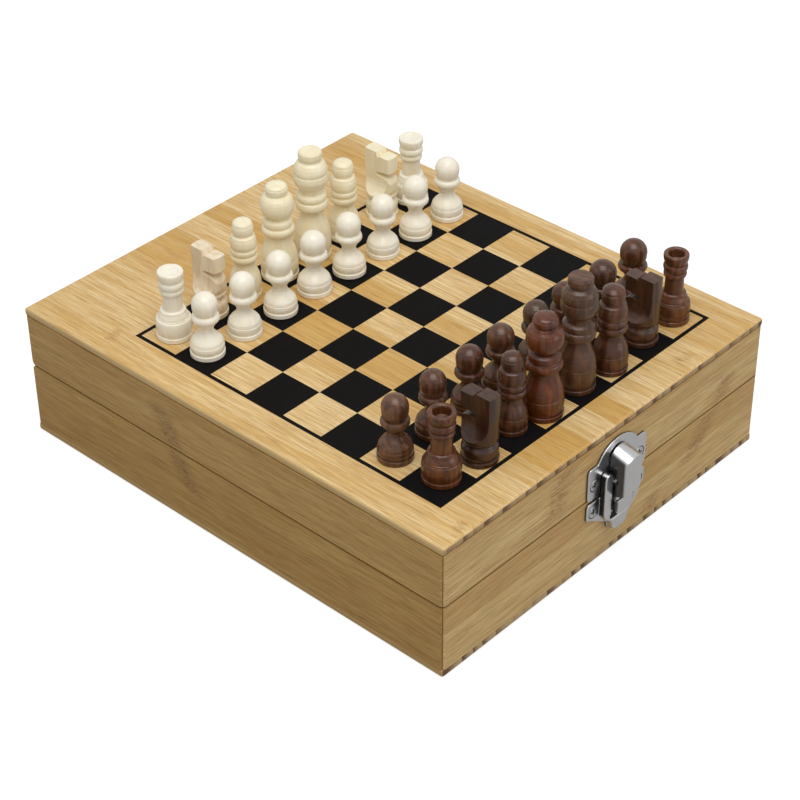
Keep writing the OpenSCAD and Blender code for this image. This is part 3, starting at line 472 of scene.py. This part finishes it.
# where a panel's sawn ends and its flanks show: the rounded rim still shows the face's wood,
# the edge below it is sawn
panel_edges, given, out = group(
    "panel_edges", {"X": "Float", "Y": "Float", "Z": "Float", "Face": "Float"},
    {"Ends": "Float", "Flanks": "Float", "Cloud": "Float"})
tree = panel_edges
below = calc(tree, "ABSOLUTE", calc(tree, "SUBTRACT", given["Z"], given["Face"]))
ends = ramp(tree, calc(tree, "ABSOLUTE", given["Y"]), half_depth - 0.50, half_depth - 0.25)
tree.links.new(calc(tree, "MULTIPLY", ends, ramp(tree, below, 0.40, 0.65)), out["Ends"])
flanks = ramp(tree, calc(tree, "ABSOLUTE", given["X"]), half_width - 0.50, half_width - 0.20)
tree.links.new(flanks, out["Flanks"])
cloud = noise(tree, given["Y"], given["Z"], given["X"], (0.04, 1.8, 1.0), 3)
tree.links.new(ramp(tree, cloud, 0.35, 0.65), out["Cloud"])


def panel_wood(name, seed, strip, face_z, end_grain, flank, marks):
    """Bamboo for a panel whose outer face is at face_z, with the two tones of its sawn ends
    and of its flanks."""
    made, tree = new_material(name)
    x, y, z = millimetres(tree)
    grain = put(tree, "ShaderNodeGroup", node_tree=bamboo, Along=y, Across=x, Depth=z, Strip=strip,
                Seed=seed, Pale=(0.87, 0.660, 0.345, 1), Honey=(0.65, 0.390, 0.110, 1),
                Brown=(0.36, 0.170, 0.042, 1), Nodes=0.5)
    colour = marked(tree, grain.outputs["Color"], y, x, z, marks, (0.40, 0.200, 0.055, 1))
    edges = put(tree, "ShaderNodeGroup", node_tree=panel_edges, X=x, Y=y, Z=z, Face=face_z).outputs
    sawn = put(tree, "ShaderNodeGroup", node_tree=sawn_end, X=x, Y=y, Z=z, Block=5.3, Seed=seed,
               Light=end_grain[0], Dark=end_grain[1])
    colour = blend(tree, edges["Ends"], colour, sawn.outputs["Color"])
    colour = blend(tree, edges["Flanks"], colour, blend(tree, edges["Cloud"], *flank))
    finish_wood(tree, colour, grain.outputs["Roughness"], grain.outputs["Height"])
    return made


top_wood = panel_wood(
    "bamboo_top", seed=12.0, strip=12.5, face_z=44.5,
    end_grain=((0.46, 0.310, 0.145, 1), (0.15, 0.078, 0.032, 1)),
    flank=((0.62, 0.440, 0.200, 1), (0.55, 0.370, 0.150, 1)),
    marks=[(-79, -60, 2.0, 3, 0.3), (-77, 39, 2.5, 4, -0.2), (52, -62, 2.5, 4, 0.2)])
bottom_wood = panel_wood(
    "bamboo_bottom", seed=5.0, strip=14.0, face_z=0.0,
    end_grain=((0.52, 0.360, 0.180, 1), (0.13, 0.066, 0.028, 1)),
    flank=((0.54, 0.350, 0.130, 1), (0.46, 0.280, 0.095, 1)),
    marks=[(20, 30, 3, 6, 0.3)])
corner, rim = 0.9 * mm, 0.8 * mm
for name, wood in (("lid_top_panel", top_wood), ("base_bottom_panel", bottom_wood)):
    low, high = [[float(c) for c in end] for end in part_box(name)]
    outside = high[2] if wood == top_wood else low[2]
    bpy.ops.mesh.primitive_cube_add(size=1, location=[(a + b) / 2 for a, b in zip(low, high)],
                                    scale=[b - a for a, b in zip(low, high)])
    panel = bpy.context.object
    panel.name = panel.data.name = name + "_rounded"
    bpy.ops.object.transform_apply(location=True, rotation=True, scale=True)
    for radius, steps, chosen in (
            (corner, 6, lambda a, b: abs(a.z - b.z) > mm),
            (rim, 5, lambda a, b: abs(a.z - outside) + abs(b.z - outside) < 0.1 * mm)):
        for edge in panel.data.edges:
            a, b = [panel.data.vertices[v].co for v in edge.vertices]
            edge.select = chosen(a, b)
        bpy.ops.object.mode_set(mode="EDIT")
        bpy.ops.mesh.select_mode(type="EDGE")
        bpy.ops.mesh.bevel(offset=radius, segments=steps, affect="EDGES", clamp_overlap=True)
        bpy.ops.mesh.select_all(action="DESELECT")
        bpy.ops.object.mode_set(mode="OBJECT")
    bpy.ops.object.shade_smooth_by_angle(angle=math.radians(40))
    even = panel.modifiers.new("even_light", "WEIGHTED_NORMAL")
    bpy.ops.object.modifier_apply(modifier=even.name)
    stand_in(panel, name, wood)

# ------------------------------------------------------------------ printed board
# Thirty-two black squares and a black line, printed on the lacquer in one pass, a little
# worn where men have been pushed about.

print_black, tree = new_material("print_black")
x, y, z = millimetres(tree)
wear = noise(tree, x, y, z, (0.05, 0.5, 1.0), 4, 0.7)
scuff = ramp(tree, noise(tree, x, y, z, (0.3, 2.8, 1.0), 3, 0.6), 0.66, 0.80)
colour = blend(tree, wear, (0.0042, 0.0040, 0.0042, 1), (0.0075, 0.0066, 0.0060, 1))
colour = blend(tree, calc(tree, "MULTIPLY", scuff, 0.10), colour, (0.06, 0.05, 0.035, 1))
finish_wood(tree, colour, ramp(tree, wear, 0.3, 0.7, 0.55, 0.68), wear, coat=0.0, bump=0.06,
            coat_roughness=0.2, sheen=0.05)


def dress(node, material):
    """Gives the node's own mesh the material."""
    cad_nodes[node].data.materials.clear()
    cad_nodes[node].data.materials.append(material)


dress("board_print", print_black)

# ------------------------------------------------------------------ hinges
# Two small steel butt hinges let into the back walls, zinc plated and lightly brushed,
# each held by four countersunk screws.

# a plated sheet's slight clouding and its brush lines
brushed_plate, given, out = group(
    "brushed_plate", {"X": "Float", "Y": "Float", "Z": "Float", "Metal": "Color"},
    {"Color": "Color", "Cloud": "Float", "Height": "Float"})
tree = brushed_plate
cloud = noise(tree, given["X"], given["Y"], given["Z"], (0.5, 0.5, 0.5), 3, 0.6)
tree.links.new(cloud, out["Cloud"])
lines = noise(tree, given["X"], given["Y"], given["Z"], (0.4, 9.0, 9.0), 2, 0.5)
tree.links.new(lines, out["Height"])
worn = blend(tree, 1.0, given["Metal"], (0.88, 0.88, 0.88, 1), "MULTIPLY")
tree.links.new(blend(tree, cloud, worn, given["Metal"]), out["Color"])


def plated_steel(name, colour, roughness, brushed, painted_shade_mask=None):
    """Plated steel. Where the given mask function is above 0, shade is painted on: the metal turns
    near black and rougher.
    """
    made, tree = new_material(name)
    x, y, z = millimetres(tree)
    plate = put(tree, "ShaderNodeGroup", node_tree=brushed_plate, X=x, Y=y, Z=z,
                Metal=colour + (1,)).outputs
    shade = plate["Color"]
    rough = calc(tree, "ADD", roughness, calc(tree, "MULTIPLY", plate["Cloud"], 0.08))
    if painted_shade_mask:
        dark = painted_shade_mask(tree, x, y, z)
        # painted shade
        shade = blend(tree, dark, shade, (0.035, 0.035, 0.036, 1))
        rough = calc(tree, "ADD", rough, calc(tree, "MULTIPLY", dark, 0.15))
    bumped = put(tree, "ShaderNodeBump", Strength=brushed, Distance=0.02 * mm,
                 Height=plate["Height"])
    skin = put(tree, "ShaderNodeBsdfPrincipled", Metallic=1.0, Roughness=rough,
               Normal=bumped.outputs[0])
    tree.links.new(shade, skin.inputs["Base Color"])
    put(tree, "ShaderNodeOutputMaterial", Surface=skin.outputs[0])
    return made


zinc = plated_steel("zinc_plate", (0.52, 0.52, 0.51), roughness=0.30, brushed=0.25)
for name in ("base_leaves", "lid_leaves", "pins", "base_screws", "lid_screws"):
    dress("hinge_" + name, zinc)

# ------------------------------------------------------------------ catch
# A pressed steel catch, nickel plated and polished: two plates, a folded lever on its pin
# and a coiled spring, held by four cross-slotted screws.

catch_x, wood_y = 1.5, -82.3
screw_out, screw_heights, screw_head_r, screw_round = 9.9, (29.25, 19.85), 1.95, 0.08 * mm


def ring_of(tree, x, z, at_x, at_z, radius, width):
    """A ring in the front view, 1 at the radius and 0 beyond the width either way."""
    across, up = calc(tree, "SUBTRACT", x, at_x), calc(tree, "SUBTRACT", z, at_z)
    away = calc(tree, "SQRT", calc(tree, "ADD", calc(tree, "MULTIPLY", across, across),
                                   calc(tree, "MULTIPLY", up, up)))
    away = calc(tree, "ABSOLUTE", calc(tree, "SUBTRACT", away, radius))
    return ramp(tree, away, width * 0.4, width, 1.0, 0.0)


def plate_painted_shade(tree, x, y, z):
    """Painted shade on the plates: near black on their cut edges, on the frame's sides and in rims
    round the screws' heads.
    """
    across = calc(tree, "ABSOLUTE", calc(tree, "SUBTRACT", x, catch_x))
    out_by = calc(tree, "SUBTRACT", wood_y, y)
    edge = ramp(tree, out_by, 0.50, 0.68, 0.75, 0.0)
    side = calc(tree, "MULTIPLY", ramp(tree, across, 7.15, 7.35), ramp(tree, out_by, 0.85, 0.95))
    side = calc(tree, "MULTIPLY", side, ramp(tree, out_by, 2.45, 2.8, 1.0, 0.0))
    dark = calc(tree, "MAXIMUM", edge, side)
    for at_x in (catch_x - screw_out, catch_x + screw_out):
        for at_z in screw_heights:
            rim_shade = ring_of(tree, x, z, at_x, at_z, screw_head_r, 0.30)
            dark = calc(tree, "MAXIMUM", dark, calc(tree, "MULTIPLY", rim_shade, 0.9))
    return dark


def cheek_painted_shade(tree, x, y, z):
    """Painted shade on the lever's cheeks, which face the dark gap beside them and mirror it."""
    across = calc(tree, "ABSOLUTE", calc(tree, "SUBTRACT", x, catch_x))
    out_by = calc(tree, "SUBTRACT", wood_y, y)
    return calc(tree, "MULTIPLY", ramp(tree, across, 3.10, 3.60, 0.0, 0.84),
                ramp(tree, out_by, 5.7, 6.4, 1.0, 0.0))


def slot_painted_shade(tree, x, y, z):
    """Painted shade in the screws' cross slots."""
    return ramp(tree, calc(tree, "SUBTRACT", wood_y, y), 0.55, 0.75, 0.9, 0.0)


nickel = (0.64, 0.64, 0.645)
# the plates, with painted shade on their edges, the frame's sides and round the screws' heads
plates = plated_steel("nickel_plate", nickel, roughness=0.20, brushed=0.04, painted_shade_mask=plate_painted_shade)
# the lever, with painted shade on its cheeks
polished = plated_steel("polished_nickel", nickel, roughness=0.19, brushed=0.0, painted_shade_mask=cheek_painted_shade)
# the screws, with painted shade in their cross slots
screws = plated_steel("nickel_screws", (0.60, 0.60, 0.605), roughness=0.24, brushed=0.0,
                      painted_shade_mask=slot_painted_shade)
wire = plated_steel("spring_wire", (0.34, 0.34, 0.35), roughness=0.28, brushed=0.0)


def combine(piece, way, other):
    """Cuts the piece to the other solid, or joins the two."""
    bpy.context.view_layer.objects.active = piece
    change = piece.modifiers.new("change", "BOOLEAN")
    change.operation, change.solver, change.object = way, "EXACT", other
    bpy.ops.object.modifier_apply(modifier=change.name)


def pressed(node, material, grid, rounds, changes=(), soft=None, soft_rounds=0):
    """The node's own shape as pressed from sheet: changed by other solids, rebuilt on a fine
    grid and smoothed, and smoothed more where soft(across, out, height) is true."""
    piece = merged_copy(node, "pressed")
    bpy.ops.object.mode_set(mode="OBJECT")
    for way, other in changes:
        combine(piece, way, other)
        bpy.data.objects.remove(other)
    piece.data.remesh_voxel_size = grid
    bpy.ops.object.voxel_remesh()
    bpy.ops.object.mode_set(mode="EDIT")
    bpy.ops.mesh.select_mode(type="VERT")
    bpy.ops.mesh.select_all(action="SELECT")
    bpy.ops.mesh.vertices_smooth(factor=0.5, repeat=rounds)
    if soft:
        bpy.ops.mesh.select_all(action="DESELECT")
        bpy.ops.object.mode_set(mode="OBJECT")
        for point in piece.data.vertices:
            x, y, z = [c / mm for c in point.co]
            point.select = soft(x - catch_x, wood_y - y, z)
        bpy.ops.object.mode_set(mode="EDIT")
        bpy.ops.mesh.vertices_smooth(factor=0.5, repeat=soft_rounds)
        bpy.ops.mesh.select_all(action="SELECT")
    bpy.ops.mesh.decimate(ratio=0.5)
    bpy.ops.object.mode_set(mode="OBJECT")
    bpy.ops.object.shade_smooth()
    stand_in(piece, node, material)


# what the lever is cut to: a barrel over straight sides, rounded along its front edge, whose
# crown falls towards the front
crown_r, crown_top, front_p, crown_fall = 4.6, 38.55, 6.9, math.radians(15)
side_length, front_round, cap_round = 25.0, 2.0, 1.4
bpy.ops.mesh.primitive_cylinder_add(
    vertices=96, radius=crown_r * mm, depth=front_p * mm, rotation=(math.radians(90), 0, 0),
    location=(catch_x * mm, (wood_y - front_p / 2) * mm, (crown_top - crown_r) * mm))
crown = bpy.context.object
bpy.ops.object.transform_apply(location=True, rotation=True, scale=True)
bpy.ops.object.mode_set(mode="EDIT")
bpy.ops.mesh.select_all(action="DESELECT")
bpy.ops.object.mode_set(mode="OBJECT")
axis_z, front_y = (crown_top - crown_r) * mm, (wood_y - front_p) * mm
for lowered, chosen in (
        (side_length, lambda at: at.z < axis_z - 0.01 * mm),
        (front_p * math.tan(crown_fall), lambda at: at.y < front_y + 0.01 * mm)):
    for point in crown.data.vertices:
        point.select = chosen(point.co)
    bpy.ops.object.mode_set(mode="EDIT")
    bpy.ops.mesh.select_mode(type="VERT")
    bpy.ops.transform.translate(value=(0, 0, -lowered * mm))
    bpy.ops.mesh.select_all(action="DESELECT")
    bpy.ops.object.mode_set(mode="OBJECT")
for edge in crown.data.edges:
    a, b = [crown.data.vertices[v].co for v in edge.vertices]
    edge.select = max(a.y, b.y) < front_y + 0.01 * mm and max(a.z, b.z) > axis_z - 3 * mm
bpy.ops.object.mode_set(mode="EDIT")
bpy.ops.mesh.select_mode(type="EDGE")
bpy.ops.mesh.bevel(offset=front_round * mm, segments=8, affect="EDGES", clamp_overlap=True)
bpy.ops.object.mode_set(mode="OBJECT")
crown.select_set(False)

# a block inside the crown, which closes the lever where the cut would open it
bpy.ops.mesh.primitive_cube_add(size=1, location=(catch_x * mm, (wood_y - 4.0) * mm, 37.0 * mm),
                                scale=(7.6 * mm, 5.8 * mm, 5.0 * mm))
cap = bpy.context.object
bpy.ops.object.transform_apply(location=True, rotation=True, scale=True)
for edge in cap.data.edges:
    a, b = [cap.data.vertices[v].co for v in edge.vertices]
    edge.select = abs(a.z - b.z) > mm and max(a.y, b.y) < front_y + 0.1 * mm
cap.data.polygons.foreach_set("select", [False] * len(cap.data.polygons))
bpy.ops.object.mode_set(mode="EDIT")
bpy.ops.mesh.select_mode(type="EDGE")
bpy.ops.mesh.bevel(offset=cap_round * mm, segments=5, affect="EDGES", clamp_overlap=True)
bpy.ops.object.mode_set(mode="OBJECT")
combine(cap, "INTERSECT", crown)
cap.select_set(False)

# softened most at the thumb end and round the tongue
pressed("catch_lever", polished, grid=0.10 * mm, rounds=26,
        changes=(("INTERSECT", crown), ("UNION", cap)),
        soft=lambda across, out, height: height < 20.4 and out > 2.6, soft_rounds=40)
pressed("catch_base_plate", plates, grid=0.12 * mm, rounds=14,
        soft=lambda across, out, height: height < 17 and abs(across) < 8 and out > 0.95,
        soft_rounds=110)
pressed("catch_strike_plate", plates, grid=0.12 * mm, rounds=10)
for name, material in (("base_screws", screws), ("strike_screws", screws),
                       ("lever_pin", plates)):
    eased("catch_" + name, material, screw_round)
dress("catch_spring", wire)

# ------------------------------------------------------------------ chessmen
# Sixteen men turned from pale close-grained woods, lacquered, and sixteen from a red-brown
# wood whose colour differs from man to man. The knights are turned blanks cut by flats.

# close grain with growth rings and pores along the height of the man
turned, given, out = group(
    "turned_wood",
    {"X": "Float", "Y": "Float", "Z": "Float", "Light": "Color", "Deep": "Color",
     "Vein": "Color", "Veins": "Float"},
    {"Color": "Color", "Roughness": "Float", "Height": "Float"})
tree = turned
flow = noise(tree, given["X"], given["Y"], given["Z"], (0.16, 0.16, 0.05), 3, 0.5)
bent = calc(tree, "ADD", given["X"], calc(tree, "MULTIPLY", flow, 9.0))
figure = noise(tree, bent, given["Y"], given["Z"], (0.55, 0.35, 0.06), 3, 0.55)
pores = noise(tree, given["X"], given["Y"], given["Z"], (4.5, 4.5, 0.35), 2, 0.6)
rings = calc(tree, "FRACT", calc(tree, "ADD", calc(tree, "MULTIPLY", bent, 0.45), figure))
rings = ramp(tree, calc(tree, "ABSOLUTE", calc(tree, "SUBTRACT", rings, 0.5)), 0.10, 0.46)
colour = blend(tree, ramp(tree, figure, 0.32, 0.68), given["Light"], given["Deep"])
colour = blend(tree, calc(tree, "MULTIPLY", rings, given["Veins"]), colour, given["Vein"])
pitted = calc(tree, "MULTIPLY", ramp(tree, pores, 0.52, 0.72),
              calc(tree, "MULTIPLY", given["Veins"], 0.9))
colour = blend(tree, pitted, colour, given["Vein"])
tree.links.new(colour, out["Color"])
tree.links.new(ramp(tree, pores, 0.3, 0.7, 0.34, 0.48), out["Roughness"])
tree.links.new(pores, out["Height"])


def man_wood(name, light, deep, vein, veins, coat, coat_roughness):
    """Turned wood in two tones, veined so strongly, under so much lacquer."""
    made, tree = new_material(name)
    x, y, z = millimetres(tree)
    grain = put(tree, "ShaderNodeGroup", node_tree=turned, X=x, Y=y, Z=z, Light=light, Deep=deep,
                Vein=vein, Veins=veins).outputs
    finish_wood(tree, grain["Color"], grain["Roughness"], grain["Height"], coat, bump=0.05,
                coat_roughness=coat_roughness, sheen=0.15)
    return made


white_wood = man_wood("white_wood", (0.97, 0.925, 0.800, 1), (0.93, 0.860, 0.680, 1),
                      (0.82, 0.680, 0.450, 1), veins=0.05, coat=0.60, coat_roughness=0.16)
cream_wood = man_wood("cream_wood", (0.96, 0.880, 0.650, 1), (0.92, 0.810, 0.540, 1),
                      (0.80, 0.630, 0.340, 1), veins=0.06, coat=0.50, coat_roughness=0.18)
streaked_wood = man_wood("streaked_wood", (0.92, 0.810, 0.620, 1), (0.84, 0.690, 0.480, 1),
                         (0.66, 0.470, 0.270, 1), veins=0.35, coat=0.30, coat_roughness=0.22)
# each man's pale wood, and the middle tone of its dark fellow
men = {
    "rook_left": (white_wood, (0.145, 0.043, 0.011)),
    "knight_left": (streaked_wood, (0.070, 0.023, 0.008)),
    "bishop_left": (cream_wood, (0.102, 0.034, 0.011)),
    "queen": (cream_wood, (0.165, 0.040, 0.009)),
    "king": (cream_wood, (0.136, 0.056, 0.023)),
    "bishop_right": (cream_wood, (0.126, 0.042, 0.014)),
    "knight_right": (cream_wood, (0.092, 0.035, 0.015)),
    "rook_right": (white_wood, (0.170, 0.057, 0.020)),
    # pawn_1's dark tone is partly its own and partly painted highlight: a quarter lighter than
    # pawn_4's, to light its head
    "pawn_1": (white_wood, (0.170, 0.068, 0.027)),
    "pawn_2": (white_wood, (0.126, 0.043, 0.015)),
    "pawn_3": (white_wood, (0.112, 0.036, 0.013)),
    "pawn_4": (white_wood, (0.136, 0.052, 0.020)),
    "pawn_5": (white_wood, (0.102, 0.044, 0.018)),
    "pawn_6": (white_wood, (0.136, 0.044, 0.015)),
    "pawn_7": (white_wood, (0.107, 0.038, 0.014)),
    "pawn_8": (white_wood, (0.131, 0.044, 0.015)),
}
knight_round = 0.16 * mm
for man, (pale_wood, tone) in men.items():
    light, deep, vein = [tuple(c * share for c in tone) + (1,) for share in (1.10, 0.56, 0.26)]
    dark_wood = man_wood("dark_wood_" + man, light, deep, vein, veins=0.5, coat=0.70,
                         coat_roughness=0.24)
    for node, wood in (("light_" + man, pale_wood), ("dark_" + man, dark_wood)):
        if "knight" in man:
            eased(node, wood, knight_round)
        else:
            dress(node, wood)

low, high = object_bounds()
